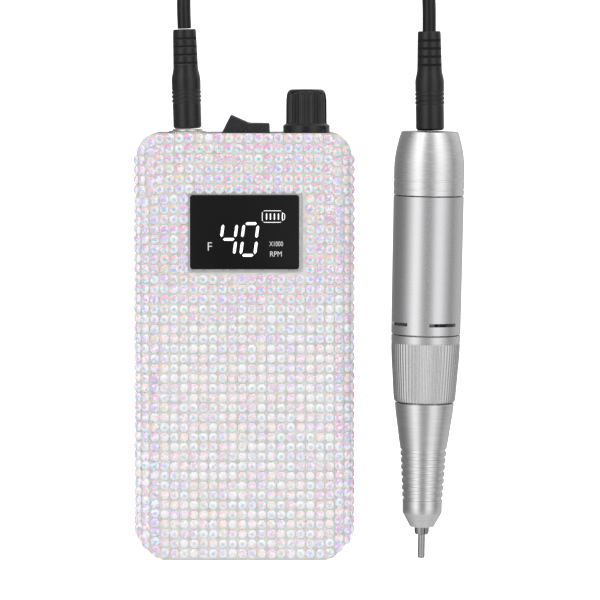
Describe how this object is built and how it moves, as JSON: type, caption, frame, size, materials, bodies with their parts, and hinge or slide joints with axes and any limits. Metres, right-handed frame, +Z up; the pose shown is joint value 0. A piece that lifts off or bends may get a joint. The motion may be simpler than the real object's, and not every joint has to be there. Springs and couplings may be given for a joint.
{
  "type": "electric nail drill",
  "caption": "Pocket electric nail drill: battery control box with stone-covered front, display, rocker switch and speed knob, and a corded pen handpiece with a twist-release chuck.",
  "frame": {"origin": "on the table, under the middle of the box and handpiece taken together, without the lead", "axes": "+Z up, out of the display; +Y towards the end with the jack, switch and knob; +X from the box to the handpiece"},
  "size_m": [0.1076, 0.2588, 0.0252],
  "materials": {
    "case_white": "clear-coated white moulding",
    "stone": "iridescent faceted stones",
    "panel_silver": "silver plated plastic",
    "lens_black": "tinted gloss",
    "plastic_black": "fine satin",
    "knob_black": "gloss",
    "rubber_black": "smooth",
    "cord_black": "gloss PVC",
    "nickel": "nickel plate",
    "aluminium_satin": "bead-blasted, satin",
    "steel": "turned",
    "steel_polished": "polished",
    "spring_steel": "plain",
    "brass": "turned",
    "copper": "enamelled wire",
    "graphite": "pressed carbon",
    "ferrite": "sintered magnet",
    "board_green": "solder mask",
    "cell_wrap": "shrink wrap"
  },
  "bodies": {
    "control_box": {"front_shell": "case_white", "back_shell": "case_white", "case_screw_1": "steel", "case_screw_2": "steel", "case_screw_3": "steel", "case_screw_4": "steel", "rubber_foot_1": "rubber_black", "rubber_foot_2": "rubber_black", "rubber_foot_3": "rubber_black", "rubber_foot_4": "rubber_black", "rhinestone_cover": "stone", "display_frame": "panel_silver", "display_lens": "lens_black", "display_module": "plastic_black", "control_board": "board_green", "battery_cell_1": "cell_wrap", "battery_cell_2": "cell_wrap", "battery_tray": "plastic_black", "control_end_panel": "panel_silver", "charging_end_panel": "panel_silver", "charging_socket": "steel", "output_jack_body": "plastic_black", "output_jack_nut": "nickel", "rocker_housing": "plastic_black", "speed_pot_body": "steel", "speed_pot_nut": "nickel"},
    "rocker": {"rocker_button": "plastic_black"},
    "speed_knob": {"speed_knob": "knob_black", "speed_pot_shaft": "steel"},
    "cord_set": {"box_plug": "rubber_black", "box_plug_pin": "nickel", "lead_box_side": "cord_black", "lead_coil": "cord_black", "lead_tie": "rubber_black", "lead_hand_side": "cord_black", "hand_plug": "rubber_black", "hand_plug_pin": "nickel"},
    "handpiece": {"rear_cap": "aluminium_satin", "rear_socket": "plastic_black", "motor_sleeve": "aluminium_satin", "chuck_body": "steel", "nose_cone": "steel_polished", "motor_can": "steel", "motor_end_cap": "plastic_black", "motor_magnet": "ferrite", "brush_left": "graphite", "brush_right": "graphite", "rear_bearing": "steel", "front_bearing": "steel", "chuck_spring": "spring_steel"},
    "motor_rotor": {"armature_core": "spring_steel", "armature_winding": "copper", "commutator": "copper", "motor_shaft": "steel", "drive_dog": "brass"},
    "spindle": {"spindle": "steel"},
    "twist_ring": {"twist_ring": "aluminium_satin"},
    "release_sleeve": {"release_sleeve": "brass"},
    "collet": {"collet": "steel"},
    "bit": {"dummy_bit": "steel_polished"}
  },
  "joints": [
    {"name": "rocker_tilt", "type": "hinge", "parent": "control_box", "child": "rocker", "pos_m": [-0.01742, 0.0613, 0.0127], "axis": [0, 0, 1], "range_deg": [0, 24.6]},
    {"name": "knob_turn", "type": "hinge", "parent": "control_box", "child": "speed_knob", "pos_m": [0.00208, 0.0701, 0.0127], "axis": [0, 1, 0], "range_deg": [0, 300]},
    {"name": "box_unplug", "type": "slide", "parent": "control_box", "child": "cord_set", "axis": [0, 1, 0], "range_m": [0, 0.015]},
    {"name": "handpiece_unplug", "type": "slide", "parent": "cord_set", "child": "handpiece", "axis": [-0.0187, -0.9998, 0], "range_m": [0, 0.015]},
    {"name": "rotor_spin", "type": "hinge", "parent": "handpiece", "child": "motor_rotor", "pos_m": [0.04165, 0.02271, 0.0115], "axis": [-0.0187, -0.9998, 0], "continuous": true},
    {"name": "spindle_spin", "type": "hinge", "parent": "handpiece", "child": "spindle", "pos_m": [0.04053, -0.03728, 0.0115], "axis": [-0.0187, -0.9998, 0], "continuous": true},
    {"name": "ring_twist", "type": "hinge", "parent": "handpiece", "child": "twist_ring", "pos_m": [0.04094, -0.01529, 0.0115], "axis": [-0.0187, -0.9998, 0], "range_deg": [0, 60]},
    {"name": "sleeve_slide", "type": "slide", "parent": "handpiece", "child": "release_sleeve", "axis": [-0.0187, -0.9998, 0], "range_m": [0, 0.0012]},
    {"name": "collet_open", "type": "slide", "parent": "spindle", "child": "collet", "axis": [-0.0187, -0.9998, 0], "range_m": [0, 0.0012]},
    {"name": "bit_pull", "type": "slide", "parent": "collet", "child": "bit", "axis": [-0.0187, -0.9998, 0], "range_m": [0, 0.03]}
  ],
  "couplings": [
    {"joint": "spindle_spin", "follows": "rotor_spin", "ratio": 1},
    {"joint": "sleeve_slide", "follows": "ring_twist", "m_per_rad": 0.0010504},
    {"joint": "collet_open", "follows": "ring_twist", "m_per_rad": 0.0010504}
  ]
}
